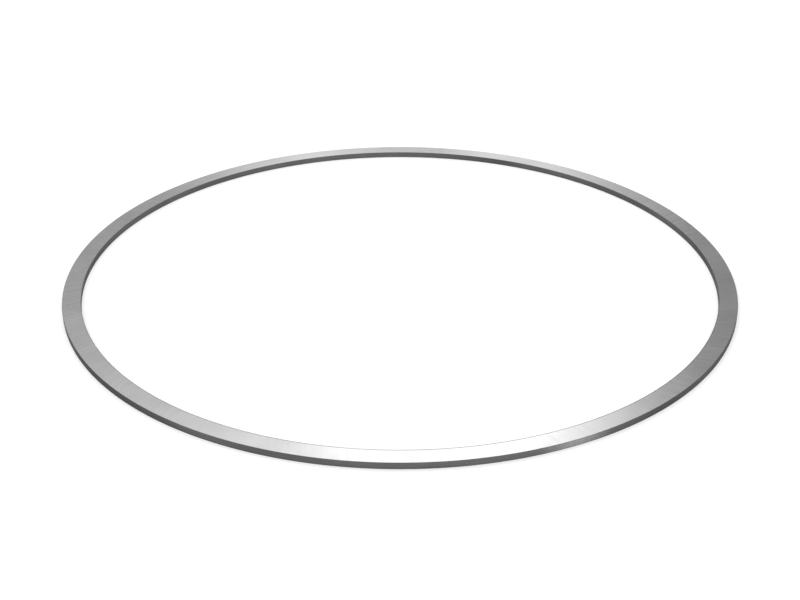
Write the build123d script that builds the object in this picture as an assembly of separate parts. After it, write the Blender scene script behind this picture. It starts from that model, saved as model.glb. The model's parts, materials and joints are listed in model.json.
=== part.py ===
from build123d import *
import os

# Flat support ring, turned from steel and ground on both faces.
# It is one closed piece: a thin, wide ring whose section is a plain bar with its edges broken.
# The ring lies on the plane z = 0, with the axis of its bore on Z.

# Driving dimensions, in millimetres
bore_diameter = 350.0
radial_width = 10.0
thickness = 3.5
edge_break = 0.15

# Places that follow from them
bore_radius = bore_diameter / 2
outer_radius = bore_radius + radial_width
bottom_face = 0.0
top_face = bottom_face + thickness


def section():
    """Half of the ring's cut face, on the XZ plane: a flat bar with all four corners broken at 45 degrees."""
    with BuildSketch(Plane.XZ) as sketch:
        with BuildLine():
            Polyline(
                (bore_radius, bottom_face),
                (outer_radius, bottom_face),
                (outer_radius, top_face),
                (bore_radius, top_face),
                close=True,
            )
        make_face()
        chamfer(sketch.vertices(), edge_break)
    return sketch.sketch


def support_ring():
    """The whole ring: the section turned once about the axis of the bore."""
    ring = revolve(section(), Axis.Z, 360)
    ring.label = "support_ring"
    return ring


os.makedirs("parts", exist_ok=True)
ring = support_ring()
export_step(ring, "parts/support_ring.step")
print(f"support_ring: volume {ring.volume:.1f} mm3, outside diameter {2 * outer_radius:.1f} mm")
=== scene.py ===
# %% [markdown]
# # A steel support ring
# This lesson dresses one turned part: a flat, slender support ring. It sits behind a seal or a bearing
# and takes the push that they can't. The real one is turned from tube or plate, ground on both faces, and
# its edges are broken with a scraper so that they don't cut.
#
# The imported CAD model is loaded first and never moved. The ring's own sizes are read from it, and all
# lengths are in metres.

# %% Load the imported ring
import bmesh
import bpy
import json
import math
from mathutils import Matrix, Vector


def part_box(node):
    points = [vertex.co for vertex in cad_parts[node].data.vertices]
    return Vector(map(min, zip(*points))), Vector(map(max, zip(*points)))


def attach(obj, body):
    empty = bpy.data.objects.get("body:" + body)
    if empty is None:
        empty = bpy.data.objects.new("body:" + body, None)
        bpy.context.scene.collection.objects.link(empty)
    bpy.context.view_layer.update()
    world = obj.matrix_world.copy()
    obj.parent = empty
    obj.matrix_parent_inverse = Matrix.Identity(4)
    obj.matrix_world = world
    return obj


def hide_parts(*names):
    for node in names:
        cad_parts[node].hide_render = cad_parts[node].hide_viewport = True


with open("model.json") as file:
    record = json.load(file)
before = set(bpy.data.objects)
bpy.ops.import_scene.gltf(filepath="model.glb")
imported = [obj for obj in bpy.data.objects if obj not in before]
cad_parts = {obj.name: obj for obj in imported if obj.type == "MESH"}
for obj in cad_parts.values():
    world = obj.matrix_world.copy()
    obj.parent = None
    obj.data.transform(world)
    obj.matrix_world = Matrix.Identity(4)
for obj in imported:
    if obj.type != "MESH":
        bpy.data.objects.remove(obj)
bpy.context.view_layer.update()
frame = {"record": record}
bpy.ops.object.select_all(action="DESELECT")

mm_per_metre = 1000

mounts = {mount["name"]: mount for mount in frame["record"]["mounts"]}
bore_radius = mounts["bore"]["dims"]["r_mm"] / mm_per_metre
outer_radius = mounts["outer_rim"]["dims"]["r_mm"] / mm_per_metre
straight_wall = mounts["bore"]["dims"]["length_mm"] / mm_per_metre
bottom, top = (corner.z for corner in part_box("support_ring"))
thickness = top - bottom
radial_width = outer_radius - bore_radius
middle_radius = (bore_radius + outer_radius) / 2
edge_break = (thickness - straight_wall) / 2
print(f"ring: {radial_width:.4f} wide, {thickness:.4f} thick, edges broken by {edge_break:.5f}")

# %% [markdown]
# ## The camera
# The photograph was taken from in front and from about 27 degrees above the ring's top face, with a short
# telephoto lens. A ring's round edges are seen as ellipses, and their widths, heights and places give the
# camera's distance, height, tilt and lens. Its place is worked out from the middle of the top face, so
# that a ring of another thickness would be framed in the same way.

# %% Place the camera
camera_distance = 0.73579
camera_elevation = math.radians(27.103)
camera_tilt = math.radians(28.417)
camera_lens = 58.997
camera_film = 36.0
nearest_seen = 0.01

camera_data = bpy.data.cameras.new("photo_camera")
camera_data.sensor_fit = "HORIZONTAL"
camera_data.sensor_width = camera_film
camera_data.lens = camera_lens
camera_data.clip_start = nearest_seen
camera = bpy.data.objects.new("photo_camera", camera_data)
bpy.context.scene.collection.objects.link(camera)
camera.location = (
    0,
    -camera_distance * math.cos(camera_elevation),
    top + camera_distance * math.sin(camera_elevation),
)
camera.rotation_euler = (math.pi / 2 - camera_tilt, 0, 0)
bpy.context.scene.camera = camera
bpy.context.scene.view_settings.view_transform = "Standard"
print("camera at", [round(value, 4) for value in camera.location])

# %% [markdown]
# ## The section
# A lathe makes this ring by turning one small section round an axis, and the Spin operator does the same.
# So the section comes first: a plane that is sized, stood up on the XZ plane and pushed out to the ring's
# own radius.
#
# Two vertex bevels break its corners. The first one cuts the 45 degree flat that the scraper leaves. The
# second rounds that flat's own corners, because no real edge is perfectly sharp and a rolled corner
# catches a line of light. A torus or a pipe from the Add menu would be quicker, but neither has this
# exact section.

# %% Shape the section
corner_softness = 0.00005
corner_steps = 3

bpy.ops.mesh.primitive_plane_add(size=1, location=(0, 0, 0))
ring = bpy.context.object
ring.name = "ground_ring"
bpy.ops.object.mode_set(mode="EDIT")
bpy.ops.mesh.select_all(action="SELECT")
bpy.ops.transform.resize(value=(radial_width, thickness, 1))
bpy.ops.transform.rotate(value=math.pi / 2, orient_axis="X", center_override=(0, 0, 0))
bpy.ops.transform.translate(value=(middle_radius, 0, bottom + thickness / 2))
bpy.ops.mesh.bevel(offset=edge_break, segments=1, affect="VERTICES")
bpy.ops.mesh.select_all(action="SELECT")
bpy.ops.mesh.bevel(offset=corner_softness, segments=corner_steps, affect="VERTICES")
section = bmesh.from_edit_mesh(ring.data)
section_area = sum(face.calc_area() for face in section.faces) * mm_per_metre**2
print("section:", len(section.verts), "corners,", round(section_area, 3), "square mm")

# %% [markdown]
# ## Turning the section
# Only the outline of the section is spun, since a filled one would leave a wall inside the closed ring.
# Many steps are used: the ring is wide and smooth, and its silhouette shows every flat. The last step of
# a full turn lands on the first one, so doubles are merged, and only then are the normals made to point
# outwards.

# %% Spin the outline round the axis of the bore
turn_steps = 720
merge_distance = 1e-6

bpy.ops.mesh.select_all(action="SELECT")
bpy.ops.mesh.delete(type="ONLY_FACE")
bpy.ops.mesh.select_all(action="SELECT")
bpy.ops.mesh.spin(steps=turn_steps, angle=math.tau, center=(0, 0, 0), axis=(0, 0, 1), use_auto_merge=True)
bpy.ops.mesh.select_all(action="SELECT")
bpy.ops.mesh.remove_doubles(threshold=merge_distance)
bpy.ops.mesh.normals_make_consistent(inside=False)
turned = bmesh.from_edit_mesh(ring.data)
open_edges = sum(not edge.is_manifold for edge in turned.edges)
volume = turned.calc_volume(signed=True) * mm_per_metre**3
print("turned:", len(turned.faces), "faces,", open_edges, "open edges,", round(volume), "cubic mm")
bpy.ops.object.mode_set(mode="OBJECT")

# %% [markdown]
# ## Shading flat faces beside soft edges
# Smooth shading makes the walls round, but it also bends the light on a flat face where it meets a
# rounded corner. The Weighted Normal modifier lets the largest face at each corner decide, so the ground
# faces stay flat and only the edges roll over.

# %% Shade the ring
smooth_below = math.radians(40)

bpy.ops.object.shade_smooth_by_angle(angle=smooth_below)
weighted = ring.modifiers.new("flat_faces_lead", "WEIGHTED_NORMAL")
weighted.keep_sharp = True
bpy.ops.object.modifier_apply(modifier=weighted.name)
print("corner normals kept in the mesh:", ring.data.has_custom_normals)

# %% [markdown]
# ## An unrolled map
# A finish that is kept as pictures needs a flat map. Seen from above, this ring is mostly hole, and its
# thin band would get few of a picture's points. So the band is unrolled: the ring is cut into equal
# sectors, and each one becomes a row of the map. Along a row the map runs round the ring, and across it
# the map goes round the section, up the bore, over the top, down the rim and back underneath.

# %% Measure round the section
section_sides = (thickness, radial_width, thickness, radial_width)


def round_section(radius, height):
    """How far round the section a point lies, from 0 at the foot of the bore to 1 back at that foot."""
    from_sides = (radius - bore_radius, top - height, outer_radius - radius, height - bottom)
    along_sides = (height - bottom, radius - bore_radius, top - height, outer_radius - radius)
    side = from_sides.index(min(from_sides))
    return (sum(section_sides[:side]) + along_sides[side]) / sum(section_sides)


print("middle of the top face:", round(round_section(middle_radius, top), 3))

# %% [markdown]
# Each face is laid down by the angle and place of its own middle, so that a face never spans the seam
# between two rows or the seam at the foot of the bore.

# %% Lay the map down
map_rows = 8
row_margin = 0.06
sector = math.tau / map_rows

layer = ring.data.uv_layers.new(name="OFBake")
for face in ring.data.polygons:
    face_angle = math.atan2(face.center.y, face.center.x) % math.tau
    face_along = round_section(face.center.xy.length, face.center.z)
    row = int(face_angle / sector)
    for corner in face.loop_indices:
        point = ring.data.vertices[ring.data.loops[corner].vertex_index].co
        turn = (math.atan2(point.y, point.x) - face_angle + math.pi) % math.tau - math.pi
        along = round_section(point.xy.length, point.z)
        along += round(face_along - along)
        across = row_margin + along * (1 - 2 * row_margin)
        layer.data[corner].uv = ((face_angle + turn) / sector - row, (row + across) / map_rows)
print("map:", layer.name, "with", map_rows, "rows")

# %% [markdown]
# ## Recipes for nodes
# The finishes and the light are built from nodes. A few small helpers keep their recipes short: each one
# adds one node, feeds it with numbers or with the outputs of earlier nodes, and hands back what the next
# node needs.

# %% Helpers that add one node
nodes_in_a_line = 8
node_spacing = (200, -260)


def put(tree, kind, label, inputs=(), **settings):
    """Adds a node, sets it, and feeds its inputs, which are pairs of a name or number and a value."""
    node = tree.nodes.new(kind)
    node.label = label
    line, place_in_line = divmod(len(tree.nodes), nodes_in_a_line)
    node.location = (place_in_line * node_spacing[0], line * node_spacing[1])
    for name, value in settings.items():
        setattr(node, name, value)
    for key, value in dict(inputs).items():
        if isinstance(value, bpy.types.NodeSocket):
            tree.links.new(value, node.inputs[key])
        else:
            node.inputs[key].default_value = value
    return node


def calc(tree, label, operation, *values):
    """One step of arithmetic."""
    return put(tree, "ShaderNodeMath", label, enumerate(values), operation=operation).outputs[0]


def vector(tree, label, operation, *values):
    """One step of arithmetic on directions and places. Output 0 is a place, and "Value" is a number."""
    return put(tree, "ShaderNodeVectorMath", label, enumerate(values), operation=operation).outputs


def fade(tree, label, value, start, end, low=0.0, high=1.0):
    """Goes smoothly from low to high while the value goes from start to end, and stays inside them."""
    limits = {"Value": value, "From Min": start, "From Max": end, "To Min": low, "To Max": high}
    return put(tree, "ShaderNodeMapRange", label, limits, interpolation_type="SMOOTHSTEP").outputs[0]


def grey(tone):
    """A neutral colour, since this steel has no tint. A colour from another node passes through."""
    return tone if isinstance(tone, bpy.types.NodeSocket) else (tone, tone, tone, 1)


def blend(tree, label, amount, first, second):
    """Mixes two greys, from the first one at 0 to the second one at 1."""
    # A Mix node has sockets for each kind of data. Its colours come in at 6 and 7 and leave at 2.
    colours = {0: amount, 6: grey(first), 7: grey(second)}
    return put(tree, "ShaderNodeMix", label, colours, data_type="RGBA").outputs[2]


print("helpers: put, calc, vector, fade, grey, blend")

# %% [markdown]
# A node group is a recipe with its own name, inputs and outputs. It is built once and used with other
# values by several materials, or several times by one.

# %% Helpers for node groups


def new_group(name, inputs, output):
    """A group whose inputs are a place and some named numbers, and that puts out one number."""
    group = bpy.data.node_groups.new(name, "ShaderNodeTree")
    group.interface.new_socket(name="Place", in_out="INPUT", socket_type="NodeSocketVector")
    for title, value in inputs.items():
        socket = group.interface.new_socket(name=title, in_out="INPUT", socket_type="NodeSocketFloat")
        socket.default_value = value
    group.interface.new_socket(name=output, in_out="OUTPUT", socket_type="NodeSocketFloat")
    return group, group.nodes.new("NodeGroupInput").outputs, group.nodes.new("NodeGroupOutput").inputs


def use(tree, group, label, place, **values):
    """Puts a group into a recipe with its own values, and hands back its number."""
    inputs = {key.replace("_", " "): value for key, value in values.items()}
    return put(tree, "ShaderNodeGroup", label, {"Place": place, **inputs}, node_tree=group).outputs[0]


print("helpers: new_group, use")

# %% [markdown]
# ## Tool marks
# A face grinder's wheel crosses the narrow face from the bore to the rim, and leaves fine lines that are
# nearly radial. A lathe tool leaves lines that run round the wall instead. One group draws both kinds.
#
# A noise texture that read the turning angle would show a seam where the angle starts again. So the group
# looks the noise up on a large circle, which closes on itself. How fast the noise changes around the
# ring, across its width and up its wall decides which way the lines run, and the slant lets them lean.

# %% Group: tool marks
noise_roughness = 0.55

marks, given, result = new_group(
    "Tool marks",
    {"Around": 100.0, "Across": 50.0, "Up": 0.0, "Slant": 0.0, "Detail": 3.0, "Shift": 0.0},
    "Marks",
)
flattened = vector(marks, "Seen from above", "MULTIPLY", given["Place"], (1, 1, 0))[0]
radius = vector(marks, "Radius", "LENGTH", flattened)["Value"]
outward = vector(marks, "Outward", "NORMALIZE", flattened)[0]
off_middle = calc(marks, "Off the middle", "SUBTRACT", radius, middle_radius)
lean = calc(marks, "Lean", "MULTIPLY", off_middle, given["Slant"])
turned_by = {"Vector": outward, "Angle": lean}
leaned = put(marks, "ShaderNodeVectorRotate", "Leaned", turned_by, rotation_type="Z_AXIS").outputs[0]
sized = {0: leaned, "Scale": given["Around"]}
circle = put(marks, "ShaderNodeVectorMath", "Circle", sized, operation="SCALE").outputs[0]
height = put(marks, "ShaderNodeSeparateXYZ", "Height", {0: given["Place"]})
across = calc(marks, "Across", "MULTIPLY_ADD", off_middle, given["Across"], given["Shift"])
rise = calc(marks, "Across and up", "MULTIPLY_ADD", height.outputs["Z"], given["Up"], across)
lifted = put(marks, "ShaderNodeCombineXYZ", "Lifted", {"Z": rise}).outputs[0]
spot = vector(marks, "Spot in the noise", "ADD", circle, lifted)[0]
texture = {"Vector": spot, "Scale": 1.0, "Detail": given["Detail"], "Roughness": noise_roughness}
noise = put(marks, "ShaderNodeTexNoise", "Noise", texture).outputs["Fac"]
marks.links.new(noise, result["Marks"])
print("group:", marks.name, "with", len(marks.nodes), "nodes")

# %% [markdown]
# ## Painted shade along the bore's edge
# The bore is scraped from inside with a hooked blade. Beside it, a thin band of the ground face is given
# painted shade: a dark grey laid into the colour. It draws the thin grey line that parts the bright face
# from a bright table.
#
# The group's mask is full beside the bore's edge, over the first part of its reach, and fades out over
# the rest of it. Drawing the line in a picture would need a texture, and a groove would change the shape.

# %% Group: edge band for painted shade
flat_from = bore_radius + edge_break
full_share = 0.4

# the band beside the bore where the ground face gets painted shade
shade_band, given, result = new_group("Edge band for painted shade", {"Reach": 0.0004}, "Mask")
flattened = vector(shade_band, "Seen from above", "MULTIPLY", given["Place"], (1, 1, 0))[0]
radius = vector(shade_band, "Radius", "LENGTH", flattened)["Value"]
faded_out = calc(shade_band, "Band ends", "ADD", given["Reach"], flat_from)
full_until = calc(shade_band, "Band is full", "MULTIPLY_ADD", given["Reach"], full_share, flat_from)
shade_band.links.new(fade(shade_band, "Grows to the bore", radius, faded_out, full_until), result["Mask"])
print("group:", shade_band.name, "with", len(shade_band.nodes), "nodes")

# %% [markdown]
# ## One side of the ring
# Some places of a turned wall are made brighter and others darker, and the painted shade beside the bore
# lies on one side of the ring only. One group serves all three. It compares the direction of a point with
# one chosen direction, in degrees round the ring, and fades to nothing at the half width on either side.

# %% Group: one side
one_side, given, result = new_group("One side", {"Direction": 0.0, "Half width": 10.0}, "Mask")
turn = calc(one_side, "Direction in radians", "RADIANS", given["Direction"])
aim = {"X": calc(one_side, "Cosine", "COSINE", turn), "Y": calc(one_side, "Sine", "SINE", turn)}
chosen = put(one_side, "ShaderNodeCombineXYZ", "Chosen direction", aim).outputs[0]
flattened = vector(one_side, "Seen from above", "MULTIPLY", given["Place"], (1, 1, 0))[0]
outward = vector(one_side, "Outward", "NORMALIZE", flattened)[0]
likeness = vector(one_side, "Likeness", "DOT_PRODUCT", outward, chosen)["Value"]
apart = calc(one_side, "Angle between them", "ARCCOSINE", likeness)
degrees = calc(one_side, "In degrees", "DEGREES", apart)
one_side.links.new(fade(one_side, "Fades to the sides", degrees, given["Half width"], 0.0), result["Mask"])
print("group:", one_side.name, "with", len(one_side.nodes), "nodes")

# %% [markdown]
# ## Starting and ending a finish
# A new material comes with nodes of its own. They are cleared, so that a recipe holds only what is put
# there.
#
# Both finishes of the ring are bare metal and end in the same way: a Bump node tilts the light over the
# relief, and the Principled shader makes metal of it all. Marks this fine would need millions of faces if
# they were modelled. At a glancing angle even dull metal mirrors the room. Specular Tint holds that back
# where feed ridges shade each other.

# %% Helpers for materials


def start(block):
    """Empties the nodes of a material or a world, and hands the empty recipe back."""
    block.use_nodes = True
    block.node_tree.nodes.clear()
    return block.node_tree


def bare_metal(tree, label, colour, roughness, relief, depth, glancing=1.0):
    """Ends the recipe of a bare metal with its relief, its shader and its surface."""
    bump = put(tree, "ShaderNodeBump", "Relief", {"Height": relief, "Distance": depth})
    surface = {
        "Base Color": colour,
        "Metallic": 1.0,
        "Roughness": roughness,
        "Specular Tint": grey(glancing),
        "Normal": bump.outputs[0],
    }
    shader = put(tree, "ShaderNodeBsdfPrincipled", label, surface)
    put(tree, "ShaderNodeOutputMaterial", "Surface", {"Surface": shader.outputs[0]})


print("helpers: start, bare_metal")

# %% [markdown]
# ## The ground faces
# Ground steel is a bright satin: it mirrors the room, but softly. Three sizes of tool marks make it real.
# Cloudy bands show where the wheel bit a little deeper, lines stand about a millimetre apart, and a fine
# grain is seen only from close by. Bands and lines shift the tone by a few hundredths, the lines also
# shift the gloss, and lines and grain raise the surface by about a micron. A flat grey with low roughness
# would look like plastic or a mirror instead.

# %% Material: ground steel face
cloudy_bands = dict(Around=6.0, Across=40.0, Slant=1.5, Detail=2.0, Shift=167.24)
wheel_lines = dict(Around=150.0, Across=40.0, Slant=-1.5, Detail=2.0, Shift=5.0)
fine_grain = dict(Around=700.0, Across=150.0, Slant=3.0, Detail=2.0, Shift=11.0)
# painted shade beside the bore is laid only on this side of the ring
painted_shade_side = dict(Direction=278.0, Half_width=90.0)
line_share = 0.18
face_tone_limits = (0.29, 0.89)
face_tones = (0.453, 0.527)
# how far the painted shade reaches from the bore's edge, and its dark grey
painted_shade_reach = 0.0005
painted_shade_tone = 0.05
gloss_limits = (0.3, 0.7)
face_roughness = (0.13, 0.19)
line_relief = 0.4
grain_height = 0.0000015

ground = bpy.data.materials.new("ground_steel_face")
tree = start(ground)
on_ring = put(tree, "ShaderNodeTexCoord", "Place on the ring").outputs["Object"]
clouds = use(tree, marks, "Cloudy bands", on_ring, **cloudy_bands)
lines = use(tree, marks, "Wheel lines", on_ring, **wheel_lines)
grain = use(tree, marks, "Grain", on_ring, **fine_grain)
both = calc(tree, "Bands and lines", "MULTIPLY_ADD", lines, line_share, clouds)
tone = fade(tree, "Tone", both, *face_tone_limits)
steel = blend(tree, "Steel", tone, *face_tones)
# painted shade: the ground face turns dark grey beside the bore, on one side of the ring only
shade_band_mask = use(tree, shade_band, "Edge band for painted shade", on_ring, Reach=painted_shade_reach)
painted_shade_side_mask = use(tree, one_side, "Side with painted shade", on_ring, **painted_shade_side)
painted_shade_mask = calc(tree, "Painted shade mask", "MULTIPLY", shade_band_mask, painted_shade_side_mask)
colour = blend(tree, "Painted shade at the bore edge", painted_shade_mask, steel, painted_shade_tone)
roughness = fade(tree, "Gloss", lines, *gloss_limits, *face_roughness)
relief = calc(tree, "Lines and grain", "MULTIPLY_ADD", lines, line_relief, grain)
bare_metal(tree, "Ground steel", colour, roughness, relief, grain_height)
print("material:", ground.name, "with", len(tree.nodes), "nodes")

# %% [markdown]
# ## The turned walls
# The bore, the rim and the broken edges were turned or scraped and never ground. Their feed lines run
# round the ring, and the metal is duller. Its grey is darker than the steel's own: painted shade. Each
# brighter or darker place is given by its direction, its half width and its strength.

# %% Helper that adds places up


def places(tree, label, on_piece, chosen_places):
    """Adds up the masks of several places on the ring."""
    total = 0.0
    for bearing, half_width, strength in chosen_places:
        mask = use(tree, one_side, label, on_piece, Direction=bearing, Half_width=half_width)
        total = calc(tree, label + ", added", "MULTIPLY_ADD", mask, strength, total)
    return total


print("helper: places")

# %% [markdown]
# Streaks along the wall make a brighter place stronger or weaker. The walls mirror the white table, so
# their grey is darkened with painted shade, below what a workshop would call steel, and that gives their
# look.

# %% Material: turned steel wall
uneven_tone = dict(Around=4.0, Across=30.0, Up=60.0, Shift=168.72)
feed_lines = dict(Around=6.0, Across=0.0, Up=5000.0, Detail=2.0, Shift=7.0)
wall_streaks = dict(Around=260.0, Across=0.0, Up=500.0, Shift=9.0)
feed_share = 0.6
wall_tone_limits = (0.5, 1.1)
# painted shade: greys darker than the steel itself, so that walls which mirror a white table look dark
wall_tones_with_painted_shade = (0.098, 0.151)
# the wall is made brighter at these places, each given by direction, half width and strength
brighter_places = ((295.5, 7.0, 1.0), (278.0, 20.0, 0.12))
streak_limits = (0.2, 0.8)
streak_strengths = (0.6, 1.4)
brighter_tone = 0.33
# the wall is made darker at these places, each given by direction, half width and strength
darker_places = ((222.0, 20.0, 0.30), (70.0, 18.0, 0.16))
darker_tone = 0.02
wall_roughness = (0.34, 0.46)
glancing_tone = 0.5
feed_height = 0.000006

walls = bpy.data.materials.new("turned_steel_wall")
tree = start(walls)
on_ring = put(tree, "ShaderNodeTexCoord", "Place on the ring").outputs["Object"]
stains = use(tree, marks, "Uneven tone", on_ring, **uneven_tone)
feed = use(tree, marks, "Feed lines", on_ring, **feed_lines)
both = calc(tree, "Tone and lines", "MULTIPLY_ADD", feed, feed_share, stains)
tone = fade(tree, "Tone", both, *wall_tone_limits)
steel = blend(tree, "Steel", tone, *wall_tones_with_painted_shade)
streaks = use(tree, marks, "Streaks in brighter places", on_ring, **wall_streaks)
streakiness = fade(tree, "Streaks", streaks, *streak_limits, *streak_strengths)
brighter_mask = places(tree, "Brighter place", on_ring, brighter_places)
streaked = calc(tree, "Streaked", "MULTIPLY", brighter_mask, streakiness)
with_darker_places = blend(tree, "Darker in places", places(tree, "Darker place", on_ring, darker_places), steel, darker_tone)
colour = blend(tree, "Brighter in places", streaked, with_darker_places, brighter_tone)
roughness = fade(tree, "Gloss", feed, *gloss_limits, *wall_roughness)
bare_metal(tree, "Turned steel", colour, roughness, feed, feed_height, glancing_tone)
print("material:", walls.name, "with", len(tree.nodes), "nodes")

# %% [markdown]
# ## Each face gets its finish
# The grinder reaches only what is level, so how far a face points up or down decides its finish. The new
# ring then takes the place of the plain CAD one and rides with it.

# %% Dress the ring
level_from = 0.999

ring.data.materials.append(ground)
ring.data.materials.append(walls)
for face in ring.data.polygons:
    face.material_index = 0 if abs(face.normal.z) > level_from else 1
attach(ring, "root")
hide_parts("support_ring")
print("ground faces:", sum(face.material_index == 0 for face in ring.data.polygons))

# %% [markdown]
# ## The table
# The ring lies on a white paper sweep: a flat sheet whose far rim curls up, so that no horizon shows. It
# starts as a disc at the height of the rim, and each inset steps inwards and down until the innermost
# face is the table. The table lies a hair below the ring's underside, so that the two never share one
# plane.

# %% Model the sweep
rim_height = 1.2
rim_radius = 4.6
rim_corners = 128
sweep_steps = ((0.04, 0.50), (0.10, 0.32), (0.16, 0.20), (0.22, 0.12), (0.30, 0.06))
under_the_ring = 0.00001

bpy.ops.object.select_all(action="DESELECT")
bpy.ops.mesh.primitive_circle_add(
    vertices=rim_corners, radius=rim_radius, fill_type="NGON", location=(0, 0, 0)
)
table = bpy.context.object
table.name = "paper_sweep"
bpy.ops.object.mode_set(mode="EDIT")
bpy.ops.mesh.select_all(action="SELECT")
bpy.ops.transform.translate(value=(0, 0, bottom + rim_height - under_the_ring))
for inwards, down in sweep_steps:
    bpy.ops.mesh.inset(thickness=inwards, depth=-down)
bpy.ops.object.mode_set(mode="OBJECT")
bpy.ops.object.shade_smooth_by_angle(angle=smooth_below)
print("table at", round(min(corner.co.z for corner in table.data.vertices), 6))

# %% [markdown]
# ## White paper
# Real paper sends back most of the light that falls on it. Here it is matt and gets only a part of that
# tone, and a white of its own is added for the camera and for what the ring mirrors. So the open table
# reads as white, the shadow under the ring stays but is faint, and no extra light falls on the ring.

# %% Material: white paper
paper_tone = 0.60
paper_variation = 0.01
paper_lift = 0.48
fibre_scale = 900.0

paper = bpy.data.materials.new("white_paper")
tree = start(paper)
ray = put(tree, "ShaderNodeLightPath", "Kind of ray").outputs
mirrored = calc(tree, "Seen or mirrored", "MAXIMUM", ray["Is Camera Ray"], ray["Is Glossy Ray"])
seen = calc(tree, "Or seen through glass", "MAXIMUM", mirrored, ray["Is Transmission Ray"])
lift = calc(tree, "Lift", "MULTIPLY", seen, paper_lift)
fibre_noise = {"Scale": fibre_scale, "Detail": 2.0}
fibres = put(tree, "ShaderNodeTexNoise", "Paper fibres", fibre_noise).outputs["Fac"]
colour = blend(tree, "Paper", fibres, paper_tone - paper_variation, paper_tone + paper_variation)
matt = put(tree, "ShaderNodeBsdfDiffuse", "Matt paper", {"Color": colour})
white = put(tree, "ShaderNodeEmission", "White", {"Strength": lift})
sheet = put(tree, "ShaderNodeAddShader", "Sheet", {0: matt.outputs[0], 1: white.outputs[0]})
put(tree, "ShaderNodeOutputMaterial", "Surface", {"Surface": sheet.outputs[0]})
table.data.materials.append(paper)
print("material:", paper.name, "with", len(tree.nodes), "nodes")

# %% [markdown]
# ## Soft panels
# A bright metal shows its surroundings more than itself, so the light of this picture is a matter of what
# the ring mirrors: soft panels round the table. Area lamps could do it, but each would be a hard
# rectangle, so the panels are painted on the world with edges as soft as a diffuser makes them.
#
# A panel is given by its sides, in degrees to the right of straight ahead, and its bottom and top, in
# degrees above the table. Each edge fades over a blur of its own, outwards. The group's place is here a
# direction from the table into the room.

# %% Group: soft panel
panel, given, result = new_group(
    "Soft panel",
    {
        "Left": -10.0,
        "Right": 10.0,
        "Bottom": 20.0,
        "Top": 60.0,
        "Left blur": 5.0,
        "Right blur": 5.0,
        "Height blur": 5.0,
    },
    "Mask",
)
parts = put(panel, "ShaderNodeSeparateXYZ", "Direction", {0: given["Place"]}).outputs
bearing = calc(panel, "Bearing", "DEGREES", calc(panel, "Turn", "ARCTAN2", parts["X"], parts["Y"]))
elevation = calc(panel, "Elevation", "DEGREES", calc(panel, "Rise", "ARCSINE", parts["Z"]))
left_end = calc(panel, "Left end", "SUBTRACT", given["Left"], given["Left blur"])
right_end = calc(panel, "Right end", "ADD", given["Right"], given["Right blur"])
low_end = calc(panel, "Low end", "SUBTRACT", given["Bottom"], given["Height blur"])
high_end = calc(panel, "High end", "ADD", given["Top"], given["Height blur"])
left = fade(panel, "Left edge", bearing, left_end, given["Left"])
right = fade(panel, "Right edge", bearing, right_end, given["Right"])
low = fade(panel, "Bottom edge", elevation, low_end, given["Bottom"])
high = fade(panel, "Top edge", elevation, high_end, given["Top"])
sides = calc(panel, "Between the sides", "MULTIPLY", left, right)
heights = calc(panel, "Between bottom and top", "MULTIPLY", low, high)
panel.links.new(calc(panel, "Inside", "MULTIPLY", sides, heights), result["Mask"])
print("group:", panel.name, "with", len(panel.nodes), "nodes")

# %% [markdown]
# ## The studio
# The walls of the studio are a plain grey and its ceiling is bright, which lights every side at a plain
# level. Behind the ring hang two upright strips, so narrow that they are all blur. The far part of the
# face mirrors them as two light bands. Over them a key panel makes the near part of the face flash white,
# and three wide fills set how the flash and the bands fall off to the left and right.
#
# The four windows are mirrored when the ring is seen from its sides and from behind.

# %% World: the studio
wall_level = 0.51
ceiling_level = 1.6
ceiling_edge = (42.0, 62.0)
panel_strengths = {
    "Left strip": 1.30,
    "Right strip": 1.10,
    "Key": 1.45,
    "Left fill": 0.18,
    "High left fill": 1.00,
    "High right fill": 0.32,
    "Right window": 0.60,
    "Left window": 0.60,
    "Far right window": 0.60,
    "Far left window": 0.60,
}
panel_shapes = {
    "Left strip": dict(Left=-4, Right=-4, Bottom=22.5, Left_blur=7.5, Right_blur=6.5, Height_blur=5.5),
    "Right strip": dict(Left=5, Right=5, Bottom=16, Left_blur=7.5, Right_blur=10, Height_blur=4),
    "Key": dict(Left=-3, Right=5.5, Bottom=33, Left_blur=2, Right_blur=9, Height_blur=4.5),
    "Left fill": dict(Left=-80, Right=-8.5, Bottom=10.5, Left_blur=20, Right_blur=1.5, Height_blur=3),
    "High left fill": dict(Left=-80, Right=-8, Bottom=39, Left_blur=20, Right_blur=2, Height_blur=13),
    "High right fill": dict(Left=10.5, Right=70, Bottom=33, Left_blur=6, Right_blur=20, Height_blur=2.5),
    "Right window": dict(Left=70, Right=100, Bottom=8, Top=45, Left_blur=22, Right_blur=22),
    "Left window": dict(Left=-115, Right=-85, Bottom=8, Top=45, Left_blur=22, Right_blur=22),
    "Far right window": dict(Left=148, Right=166, Bottom=10, Top=50, Left_blur=16, Right_blur=13),
    "Far left window": dict(Left=-166, Right=-148, Bottom=10, Top=50, Left_blur=13, Right_blur=16),
}

studio = bpy.data.worlds.new("studio")
bpy.context.scene.world = studio
tree = start(studio)
direction = put(tree, "ShaderNodeTexCoord", "Direction").outputs["Generated"]
upward = put(tree, "ShaderNodeSeparateXYZ", "Upward", {0: direction}).outputs["Z"]
elevation = calc(tree, "Elevation", "DEGREES", calc(tree, "Rise", "ARCSINE", upward))
light = fade(tree, "Ceiling", elevation, *ceiling_edge, wall_level, ceiling_level)
for title, strength in panel_strengths.items():
    mask = use(tree, panel, title, direction, **panel_shapes[title])
    light = calc(tree, "With the " + title.lower(), "MULTIPLY_ADD", mask, strength, light)
background = put(tree, "ShaderNodeBackground", "Soft light", {"Strength": light})
put(tree, "ShaderNodeOutputWorld", "World", {"Surface": background.outputs[0]})
print("panels:", ", ".join(panel_shapes))
